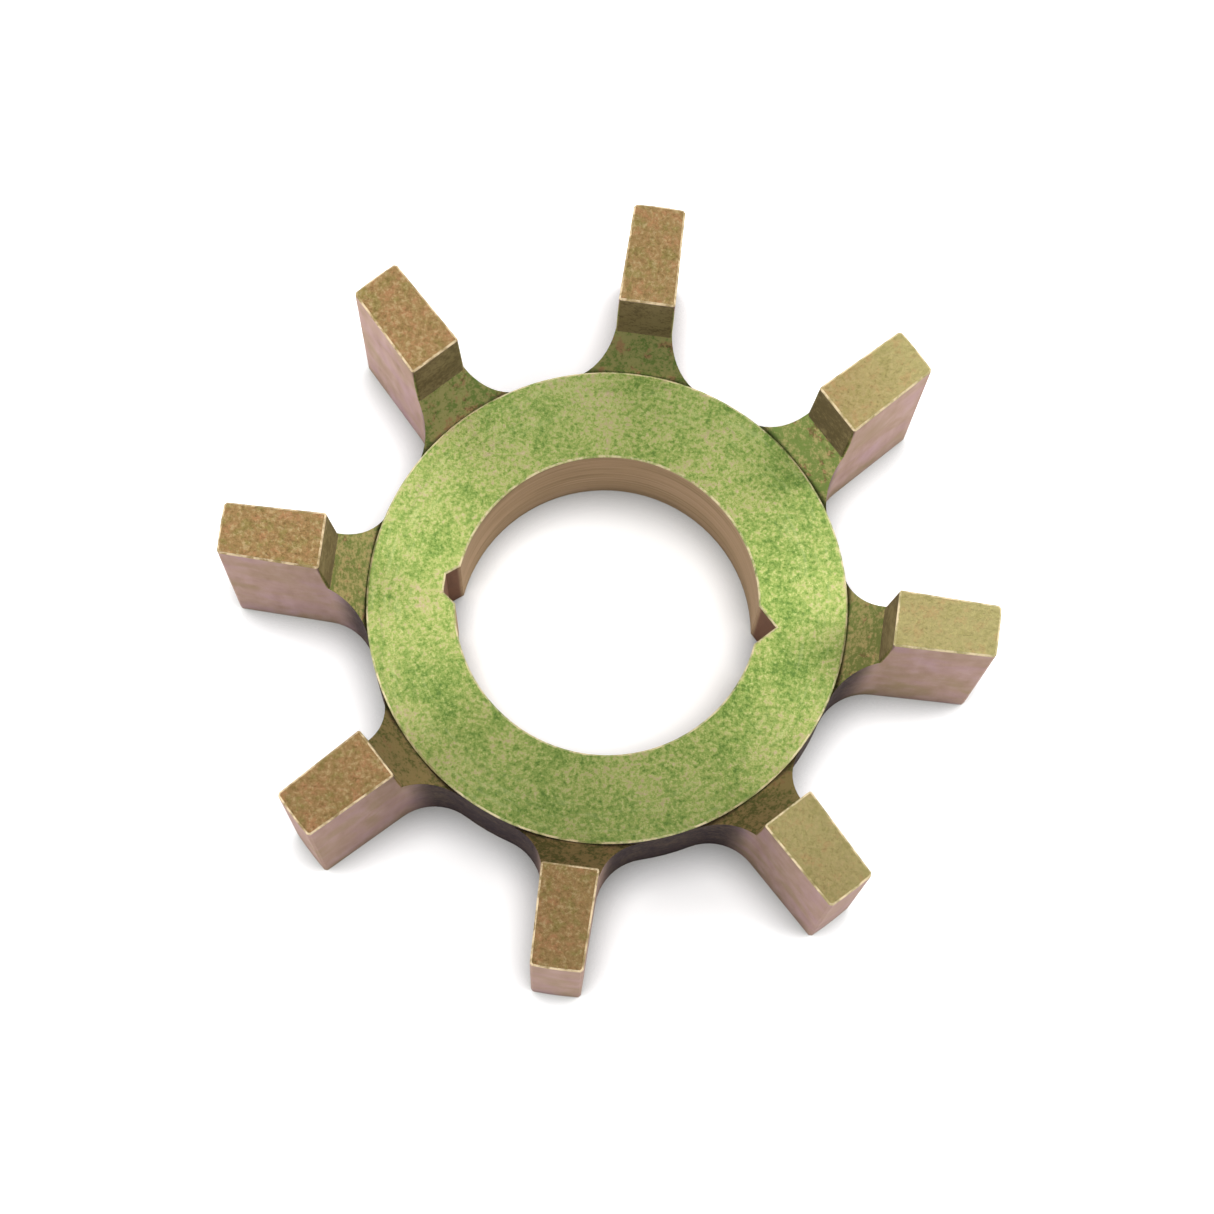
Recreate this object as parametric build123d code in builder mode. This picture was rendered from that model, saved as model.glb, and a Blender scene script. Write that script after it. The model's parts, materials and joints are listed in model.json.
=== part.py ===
from build123d import *
from math import hypot, isclose, radians, tan
import os

# An eight-armed driving star, machined from one piece of steel.
# The bore axis is Z, the underside lies on Z = 0, and one arm points along +X.

# Driving dimensions, in millimetres
arm_count = 8
tip_radius = 62.5  # bore axis to the arms' turned outer ends
bore_radius = 25.0
hub_radius = 39.6  # rim of the hub's raised face, and floor of the gaps between arms
hub_thickness = 24.0
total_height = 44.0  # underside to the tops of the driving tips

# Arms: bars that thicken slightly inwards and flare into the hub
arm_end_width = 8.4
arm_root_width = 9.2
flare_radius = 9.0

# Driving tips: blocks that stand above the necks, with a leaning inner wall
step_radius = 46.0  # bore axis to the top edge of a tip's inner wall
foot_radius = 45.0  # bore axis to the foot of that wall
foot_height = 29.2
neck_height = 23.4  # height of a neck's ramp where its middle meets the hub's rim
foot_fillet = 1.0

# Bore notches: a sharp vee at the arm on +X, a blunt one opposite
notch_half_width = 3.0
sharp_depth = 3.0
blunt_depth = 2.0
blunt_floor = 3.0

# Edge breaks
edge_break = 0.3
corner_round = 0.4
end_corner_break = 0.4

# Sizes that follow from the ones above
pitch = 360 / arm_count  # degrees from one arm to the next
notch_clearance = 1.0  # how far a notch's cutting outline reaches into the open bore
arm_overrun = 2.0  # arm outlines reach this far past the turned diameter
recess_half_width = step_radius * tan(radians(pitch / 2))  # the eight recesses meet side by side
arm_taper = (arm_root_width - arm_end_width) / 2 / (tip_radius - step_radius)
ramp_slope = (foot_height - neck_height) / (foot_radius - hub_radius)
ramp_start = hub_radius - 2.0  # the rim curves back from the middle of a neck to its flares
ramp_low = neck_height - (hub_radius - ramp_start) * ramp_slope


def arm_half_width(distance):
    """Half the width of an arm at a distance from the bore axis."""
    return arm_root_width / 2 + (step_radius - distance) * arm_taper


def is_inner_corner(edge):
    """True for the leaning corner edges between a tip's inner wall and its sides."""
    middle = edge.center()
    tall = edge.bounding_box().size.Z > (total_height - foot_height) / 2
    return tall and middle.Z > foot_height and hypot(middle.X, middle.Y) < step_radius


def level_faces(builder, height):
    """The horizontal faces of a part at a height."""
    faces = builder.faces().filter_by(Plane.XY)
    return faces.filter_by(lambda face: isclose(face.center().Z, height, abs_tol=1e-3))


# What is milled away above one arm's neck, with the hub's raised face left standing
with BuildPart() as recess:
    with BuildSketch(Plane.XZ) as profile:
        Polygon(
            (0, total_height),
            (0, ramp_low),
            (ramp_start, ramp_low),
            (foot_radius, foot_height),
            (step_radius, total_height),
            align=None,
        )
        foot = profile.vertices().sort_by_distance((foot_radius, 0, foot_height))[0]
        fillet(foot, radius=foot_fillet)
    extrude(amount=recess_half_width, both=True)
    with Locations((0, 0, ramp_low)):
        Cylinder(
            hub_radius,
            hub_thickness - ramp_low,
            align=(Align.CENTER, Align.CENTER, Align.MIN),
            mode=Mode.SUBTRACT,
        )

with BuildPart() as drive_star:
    # Plan outline: round core, tapered arms, and a flare on both sides of each arm's root
    with BuildSketch() as outline:
        Circle(hub_radius)
        with PolarLocations(0, arm_count):
            Polygon(
                (0, -arm_half_width(0)),
                (tip_radius + arm_overrun, -arm_half_width(tip_radius + arm_overrun)),
                (tip_radius + arm_overrun, arm_half_width(tip_radius + arm_overrun)),
                (0, arm_half_width(0)),
                align=None,
            )
        fillet(outline.vertices().group_by(SortBy.DISTANCE)[0], radius=flare_radius)
        Circle(tip_radius, mode=Mode.INTERSECT)
        chamfer(outline.vertices().group_by(SortBy.DISTANCE)[-1], length=end_corner_break)
    extrude(amount=total_height)
    with PolarLocations(0, arm_count):
        add(recess.part, mode=Mode.SUBTRACT)

    # Bore with its two notches
    with BuildSketch() as bore_outline:
        Circle(bore_radius)
        inner = bore_radius - notch_clearance
        sharp_spread = notch_half_width * (sharp_depth + notch_clearance) / sharp_depth
        Polygon(
            (bore_radius + sharp_depth, 0),
            (inner, sharp_spread),
            (inner, -sharp_spread),
            align=None,
        )
        blunt_slope = (notch_half_width - blunt_floor / 2) / blunt_depth
        blunt_spread = notch_half_width + notch_clearance * blunt_slope
        Polygon(
            (-bore_radius - blunt_depth, blunt_floor / 2),
            (-bore_radius - blunt_depth, -blunt_floor / 2),
            (-inner, -blunt_spread),
            (-inner, blunt_spread),
            align=None,
        )
    extrude(amount=total_height, mode=Mode.SUBTRACT)

    # Breaks around the tips' tops, rounded inner corners, then the hub's face and the underside
    chamfer(level_faces(drive_star, total_height).edges(), length=edge_break)
    fillet(drive_star.edges().filter_by(is_inner_corner), radius=corner_round)
    for level in (hub_thickness, 0):
        chamfer(level_faces(drive_star, level).edges(), length=edge_break)

drive_star.part.label = "drive_star"

os.makedirs("parts", exist_ok=True)
export_step(drive_star.part, "parts/drive_star.step")
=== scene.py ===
import json
from math import cos, radians, sin

import bpy
from mathutils import Matrix, Vector


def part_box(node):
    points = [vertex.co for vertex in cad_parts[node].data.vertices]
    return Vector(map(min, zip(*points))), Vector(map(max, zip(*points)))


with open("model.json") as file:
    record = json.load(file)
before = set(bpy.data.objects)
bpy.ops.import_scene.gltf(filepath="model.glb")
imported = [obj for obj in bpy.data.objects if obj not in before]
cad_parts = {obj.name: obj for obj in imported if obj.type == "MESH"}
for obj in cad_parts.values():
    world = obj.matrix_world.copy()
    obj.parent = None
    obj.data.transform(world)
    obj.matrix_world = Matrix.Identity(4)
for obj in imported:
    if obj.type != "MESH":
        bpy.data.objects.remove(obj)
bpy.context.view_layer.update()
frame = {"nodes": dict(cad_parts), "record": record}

mounts = {mount["name"]: mount for mount in frame["record"]["mounts"]}
low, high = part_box("drive_star")
centre = (low + high) / 2

# Places that the material tells apart, in millimetres from the bore axis or, for the tips, up
MM_PER_METRE = 1000.0
BORE = mounts["bore"]["dims"]["r_mm"]
NOTCH_END = BORE + 3.5  # everything upright inside this belongs to the bore and its notches
RIM = 39.6  # rim of the hub's raised face
# The painted shade on the gap walls fades out from ROOT_END over ROOT_FADE
ROOT_END = 46.0  # the dark of the gap walls fades out here
ROOT_FADE = 5.0  # over this length
NECK_END = 46.2  # just outside the tips' inner walls
TIP_FLOOR = 43.5  # just under the tips' tops


def linear(red, green, blue):
    """A colour given as 0 to 255 per channel, as linear light."""
    channels = [value / 255 for value in (red, green, blue)]
    return [c / 12.92 if c <= 0.04045 else ((c + 0.055) / 1.055) ** 2.4 for c in channels] + [1]


class Graph:
    """Shader nodes of one node tree. Its methods add nodes and return their output sockets."""

    def __init__(self, tree):
        self.tree = tree

    def add(self, kind, inputs=(), **settings):
        """A node with some settings, its inputs given by name or number as values or sockets."""
        node = self.tree.nodes.new(kind)
        for name, value in settings.items():
            setattr(node, name, value)
        for name, value in dict(inputs).items():
            self.feed(node.inputs[name], value)
        return node

    def feed(self, socket, value):
        """Sets a socket, or links it when the value is another node's output."""
        if isinstance(value, bpy.types.NodeSocket):
            self.tree.links.new(value, socket)
        else:
            socket.default_value = value

    def math(self, operation, a, b=0.0):
        return self.add("ShaderNodeMath", {0: a, 1: b}, operation=operation).outputs[0]

    def product(self, *factors):
        total = factors[0]
        for factor in factors[1:]:
            total = self.math("MULTIPLY", total, factor)
        return total

    def inverse(self, value):
        return self.math("SUBTRACT", 1.0, value)

    def rise(self, value, start, end, low=0.0, high=1.0):
        """Goes smoothly from low to high as the value goes from start to end."""
        inputs = {"Value": value, "From Min": start, "From Max": end, "To Min": low, "To Max": high}
        return self.add("ShaderNodeMapRange", inputs, interpolation_type="SMOOTHSTEP").outputs[0]

    def split(self, vector):
        return self.add("ShaderNodeSeparateXYZ", {0: vector}).outputs[:3]

    def join(self, x, y, z):
        return self.add("ShaderNodeCombineXYZ", {0: x, 1: y, 2: z}).outputs[0]

    def noise(self, vector, scale, detail=2.0, roughness=0.5, distortion=0.0):
        """Noise from 0 to 1, with a mean of a half. Scale is in waves per unit of the vector."""
        inputs = {"Vector": vector, "Scale": scale, "Detail": detail,
                  "Roughness": roughness, "Distortion": distortion}
        return self.add("ShaderNodeTexNoise", inputs).outputs["Fac"]

    def ramp(self, value, stops):
        """Colour stops, each a place from 0 to 1 with its colour."""
        node = self.add("ShaderNodeValToRGB", {0: value})
        elements = node.color_ramp.elements
        elements.remove(elements[1])
        for index, (place, colour) in enumerate(stops):
            element = elements[0] if index == 0 else elements.new(place)
            element.position = place
            element.color = linear(*colour)
        return node.outputs["Color"]

    def mix(self, factor, a, b, blend_type="MIX"):
        node = self.add("ShaderNodeMix", data_type="RGBA", blend_type=blend_type)
        for index, value in ((0, factor), (6, a), (7, b)):
            self.feed(node.inputs[index], value)
        return node.outputs[2]

    def blend(self, factor, a, b):
        """A number that goes from a to b."""
        node = self.add("ShaderNodeMix", {0: factor, 2: a, 3: b}, data_type="FLOAT")
        return node.outputs[0]

    def bump(self, height, strength, distance):
        inputs = {"Height": height, "Strength": strength, "Distance": distance}
        return self.add("ShaderNodeBump", inputs).outputs[0]


def new_material(name):
    """A material with its graph and its shader node."""
    material = bpy.data.materials.new(name)
    material.use_nodes = True
    return material, Graph(material.node_tree), material.node_tree.nodes["Principled BSDF"]


def plated_steel():
    """Yellow-chromate zinc plate: green on turned faces, gold on tips, mauve on milled sides.

    East is +X and north is +Y, both in the object's own space.
    """
    material, g, shader = new_material("plated_steel")
    metres = g.add("ShaderNodeTexCoord").outputs["Object"]
    place = g.add("ShaderNodeVectorMath", {0: metres, 3: MM_PER_METRE}, operation="SCALE").outputs[0]
    x, y, z = g.split(place)
    distance = g.add("ShaderNodeVectorMath", {0: g.join(x, y, 0.0)}, operation="LENGTH").outputs[1]
    east = g.math("DIVIDE", x, distance)
    north = g.math("DIVIDE", y, distance)
    nx, ny, nz = g.split(g.add("ShaderNodeNewGeometry").outputs["True Normal"])
    outward = g.math("ADD", g.product(nx, east), g.product(ny, north))

    # Regions, each a mask from 0 to 1
    level = g.rise(nz, 0.93, 0.97)
    upright = g.inverse(g.rise(g.math("ABSOLUTE", nz), 0.15, 0.3))
    on_tip = g.math("GREATER_THAN", z, TIP_FLOOR)
    tip_face = g.product(level, on_tip)
    bore_wall = g.product(upright, g.math("LESS_THAN", distance, NOTCH_END))
    notch = g.product(bore_wall, g.rise(distance, BORE + 0.1, BORE + 0.6))
    # Gap walls near the hub, where the colour paints shade
    root = g.product(upright, g.math("GREATER_THAN", distance, NOTCH_END),
                     g.rise(distance, ROOT_END, ROOT_END - ROOT_FADE))
    neck = g.product(
        g.math("LESS_THAN", outward, 0.0),
        g.math("GREATER_THAN", distance, RIM - 0.6),
        g.math("LESS_THAN", distance, NECK_END),
        g.math("LESS_THAN", z, TIP_FLOOR),
        g.inverse(level),
    )
    edge = g.product(g.inverse(level), g.inverse(upright), g.inverse(neck))

    # Plating film: broad drifts, blotches and fine speckle
    drift = g.noise(place, 0.05, 1.0)
    blotch = g.noise(place, 0.22, 3.0, 0.6, 0.4)
    speckle = g.noise(place, 1.0, 3.0, 0.75)
    fleck = g.noise(place, 2.1, 2.0, 0.7)
    film = g.math("ADD", g.product(drift, 0.15), g.product(blotch, 0.22))
    film = g.math("ADD", film, g.product(speckle, 0.38))
    film = g.rise(g.math("ADD", film, g.product(fleck, 0.25)), 0.36, 0.64)
    patches = g.rise(film, 0.2, 0.8)

    # Turned marks: short arcs round the bore axis
    turned = g.noise(g.join(g.product(distance, 1.3), g.product(east, 5.0), g.product(north, 5.0)),
                     1.0, 3.0, 0.65)
    outer = g.rise(distance, 29.0, 34.0)

    # Broad drifts over the part: painted shade deepening to the south; tips paler and more golden to
    # the east, partly plating hue and partly painted light
    wander = g.product(g.math("SUBTRACT", drift, 0.5), 40.0)
    painted_shade_south = g.rise(g.math("ADD", y, wander), 50.0, -62.0)
    gold_and_painted_light_east = g.rise(g.math("ADD", x, wander), -10.0, 60.0)

    # Hub: yellow green, with light and dark flecks and turned marks on its outer part
    hub_colour = g.ramp(film, [
        (0.0, (88, 118, 54)), (0.25, (118, 142, 70)), (0.45, (138, 156, 84)),
        (0.6, (152, 162, 92)), (0.75, (168, 172, 110)),
        (0.9, (168, 156, 114)), (1.0, (182, 164, 134)),
    ])
    hub_colour = g.mix(g.rise(fleck, 0.56, 0.74, 0.0, 0.35), hub_colour, linear(196, 202, 136))
    hub_colour = g.mix(g.rise(fleck, 0.44, 0.28, 0.0, 0.3), hub_colour, linear(98, 108, 52))
    hub_colour = g.mix(g.product(g.rise(turned, 0.5, 0.7, 0.0, 0.3), outer), hub_colour,
                       linear(186, 192, 134))
    hub_colour = g.mix(g.product(g.rise(turned, 0.5, 0.3, 0.0, 0.3), outer), hub_colour,
                       linear(92, 118, 60))

    # Tips: coppery, paler olive gold to the east, partly plating hue and partly painted light
    grain = g.noise(place, 1.3, 4.0, 0.8, 0.3)
    scale = g.add("ShaderNodeTexVoronoi", {"Vector": place, "Scale": 1.1}).outputs["Distance"]
    hue = g.noise(place, 0.45, 3.0, 0.7)
    # Paler and gold to the east, with less grain: partly plating hue, partly painted light
    tip_colour = g.mix(gold_and_painted_light_east, linear(146, 118, 78), linear(162, 154, 104))
    contrast = g.blend(gold_and_painted_light_east, 1.0, 0.45)
    for field, start, end, amount, tint in (
        (hue, 0.5, 0.36, 0.5, (124, 122, 66)), (hue, 0.52, 0.66, 0.5, (170, 120, 88)),
        (grain, 0.5, 0.34, 0.7, (100, 80, 46)), (grain, 0.5, 0.66, 0.65, (190, 170, 126)),
    ):
        patch = g.product(g.rise(field, start, end, 0.0, amount), contrast)
        tip_colour = g.mix(patch, tip_colour, linear(*tint))

    # Sides: mauve with lilac and olive tarnish, more olive low down
    streaks = g.noise(g.join(g.product(x, 0.5), g.product(y, 0.5), g.product(z, 0.12)),
                      1.0, 3.0, 0.6)
    side_tone = g.math("ADD", g.product(streaks, 0.5), g.product(blotch, 0.5))
    side_colour = g.ramp(side_tone, [
        (0.25, (134, 112, 98)), (0.5, (156, 133, 123)), (0.75, (172, 150, 148)),
    ])
    tarnish = g.noise(place, 0.11, 2.0, 0.6, 0.5)
    side_colour = g.mix(g.rise(tarnish, 0.48, 0.72, 0.0, 0.4), side_colour, linear(158, 130, 148))
    olive = g.product(g.rise(tarnish, 0.54, 0.26, 0.0, 0.65), g.rise(z, 44.0, 10.0, 0.5, 1.0))
    side_colour = g.mix(olive, side_colour, linear(134, 122, 88))

    # Bore: brown with a lathe's rings, its notches rusty and dark, the dark partly painted shade in
    # the recesses
    lathe = g.noise(g.join(g.product(x, 0.04), g.product(y, 0.04), g.product(z, 1.2)),
                    1.0, 4.0, 0.6)
    bore_colour = g.ramp(lathe, [
        (0.3, (122, 106, 78)), (0.5, (154, 132, 104)), (0.7, (170, 146, 122)),
    ])
    # Rusty brown in the notches, darkened further as painted shade
    rust_and_shade = g.mix(speckle, linear(52, 36, 30), linear(128, 92, 74))
    bore_colour = g.mix(notch, bore_colour, rust_and_shade)

    # Walls of the gaps: painted shade between the arms, over a dark brown film with a little purple
    gap_shade_colour = g.ramp(film, [
        (0.0, (50, 41, 46)), (0.4, (62, 52, 54)), (0.7, (76, 65, 60)), (1.0, (94, 82, 70)),
    ])

    # Necks: green, browner at random, and browner to the south along with the painted shade
    neck_colour = g.mix(patches, linear(108, 128, 66), linear(156, 152, 98))
    brown = g.mix(patches, linear(104, 93, 58), linear(160, 130, 92))
    neck_brown_and_shade = g.math("MAXIMUM", g.product(painted_shade_south, 0.9), g.rise(hue, 0.54, 0.66))
    neck_colour = g.mix(neck_brown_and_shade, neck_colour, brown)
    tip_wall = g.rise(outward, -0.86, -0.95)
    tip_wall_colour = g.mix(patches, linear(112, 98, 74), linear(152, 136, 104))
    neck_colour = g.mix(tip_wall, neck_colour, tip_wall_colour)

    # The regions together, then the painted shade to the south, then the edges, pale as wear and as
    # painted highlight
    colour = g.mix(upright, hub_colour, side_colour)
    colour = g.mix(root, colour, gap_shade_colour)
    colour = g.mix(neck, colour, neck_colour)
    colour = g.mix(bore_wall, colour, bore_colour)
    colour = g.mix(g.math("MAXIMUM", tip_face, g.product(edge, on_tip)), colour, tip_colour)
    # Painted shade: a darker copy of the colour, laid on more to the south
    painted_shade_colour = g.mix(1.0, colour, linear(150, 140, 136), "MULTIPLY")
    colour = g.mix(g.product(painted_shade_south, 0.32), colour, painted_shade_colour)
    # Pale edges: partly wear, partly painted highlight along the edge breaks
    worn_and_highlight = g.product(edge, g.rise(hue, 0.4, 0.62, 0.1, 0.75))
    colour = g.mix(worn_and_highlight, colour, linear(226, 208, 172))

    # Turned faces are grooved round the bore, tips are coarse, sides are streaked
    roughness = g.blend(level, 0.42, g.rise(turned, 0.3, 0.7, 0.44, 0.52))
    roughness = g.blend(root, roughness, 0.9)
    roughness = g.blend(tip_face, roughness, g.rise(grain, 0.3, 0.7, 0.45, 0.62))
    height = g.blend(level, g.product(streaks, 0.3),
                     g.math("ADD", g.product(turned, 0.4), g.product(speckle, 0.6)))
    height = g.blend(tip_face, height, g.math("ADD", g.product(grain, 1.5), g.product(scale, 0.8)))

    g.feed(shader.inputs["Base Color"], colour)
    g.feed(shader.inputs["Roughness"], roughness)
    g.feed(shader.inputs["Normal"], g.bump(height, 0.6, 0.00025))
    g.feed(shader.inputs["Metallic"], g.blend(root, g.blend(edge, 0.85, 0.2), 0.0))
    radial = g.add("ShaderNodeTangent", direction_type="RADIAL", axis="Z").outputs[0]
    g.feed(shader.inputs["Tangent"], radial)
    shader.inputs["Specular IOR Level"].default_value = 0.1
    shader.inputs["Anisotropic"].default_value = 0.75
    shader.inputs["Anisotropic Rotation"].default_value = 0.25
    shader.inputs["Specular Tint"].default_value = (0.72, 0.58, 0.5, 1)
    return material


def white_paper():
    """The floor: matt white and glowing, with a painted shadow where it meets the object."""
    material, g, shader = new_material("white_paper")
    reach = 0.007  # how far from the object the floor darkens
    # Painted contact shadow: ambient occlusion darkens the floor's colour and glow
    contact = g.add("ShaderNodeAmbientOcclusion", {"Distance": reach}, samples=8).outputs["AO"]
    shade = g.ramp(contact, [
        (0.35, (132, 132, 132)), (0.7, (206, 206, 206)), (0.98, (246, 246, 246)),
    ])
    g.feed(shader.inputs["Base Color"], shade)
    g.feed(shader.inputs["Emission Color"], shade)
    shader.inputs["Roughness"].default_value = 0.9
    shader.inputs["Specular IOR Level"].default_value = 0.0
    shader.inputs["Emission Strength"].default_value = 0.5
    return material


def add_floor():
    size = 6.0
    gap = 0.0002  # keeps the floor clear of the underside
    bpy.ops.mesh.primitive_plane_add(size=size, location=(0, 0, low.z - gap))
    floor = bpy.context.object
    floor.name = "floor"
    floor.data.materials.append(white_paper())


def add_world():
    """A studio dome: bright overhead, dim at the horizon, with three soft boxes."""
    world = bpy.data.worlds.new("studio")
    bpy.context.scene.world = world
    world.use_nodes = True
    g = Graph(world.node_tree)
    dome = g.tree.nodes["Background"]
    way = g.add("ShaderNodeTexCoord").outputs["Generated"]
    x, y, z = g.split(way)
    cap = g.rise(z, 0.2, 0.85, 0.0, 1.05)
    flank = g.math("ADD", g.rise(x, -0.3, -0.8, 0.0, 0.6), g.rise(x, 0.3, 0.8, 0.0, 0.3))
    flank = g.product(flank, g.rise(z, -0.05, 0.1))
    # Each box's direction, the cosine of the angle out to its rim, and its power
    soft_boxes = (
        ((0.64, 0.2, 0.74), 0.9, 5.5),  # high in the east
        ((-0.7, 0.2, 0.69), 0.9, 1.8),  # high in the west
        ((-0.85, -0.32, 0.42), 0.8, 1.6),  # lower and broader, west by south-west
    )
    full = 0.97  # the cosine of the angle within which a box has its full power
    boxes = 0.0
    for aim, rim, power in soft_boxes:
        toward = g.add("ShaderNodeVectorMath", {0: way, 1: aim}, operation="DOT_PRODUCT").outputs[1]
        boxes = g.math("ADD", boxes, g.rise(toward, rim, full, 0.0, power))
    horizon = 0.08
    lamps = g.math("ADD", horizon, boxes)
    g.feed(dome.inputs["Strength"], g.math("ADD", lamps, g.math("MAXIMUM", cap, flank)))
    dome.inputs["Color"].default_value = (1, 1, 1, 1)
    backdrop = g.add("ShaderNodeBackground", {"Color": (0.85, 0.85, 0.85, 1)})
    seen = g.add("ShaderNodeLightPath").outputs["Is Camera Ray"]
    choose = g.add("ShaderNodeMixShader", {0: seen, 1: dome.outputs[0], 2: backdrop.outputs[0]})
    g.feed(g.tree.nodes["World Output"].inputs["Surface"], choose.outputs[0])


def add_camera():
    """Nearly straight down onto the hub, turned a little about its own line of sight."""
    azimuth = radians(2.8)  # 0 looks along +Y
    elevation = radians(78.4)
    roll = radians(4.9)
    distance = 0.5675
    level_reach = cos(elevation)
    back = Vector((sin(azimuth) * level_reach, -cos(azimuth) * level_reach, sin(elevation)))
    camera = bpy.data.objects.new("camera", bpy.data.cameras.new("camera"))
    camera.data.lens = 102
    camera.data.sensor_width = 36
    turn = (-back).to_track_quat("-Z", "Y").to_matrix().to_4x4() @ Matrix.Rotation(roll, 4, "Z")
    camera.matrix_world = Matrix.Translation(centre + back * distance) @ turn
    bpy.context.scene.collection.objects.link(camera)
    bpy.context.scene.camera = camera


star = frame["nodes"]["drive_star"]
star.data.materials.clear()
star.data.materials.append(plated_steel())

add_floor()
add_camera()
add_world()
bpy.context.scene.view_settings.view_transform = "Standard"
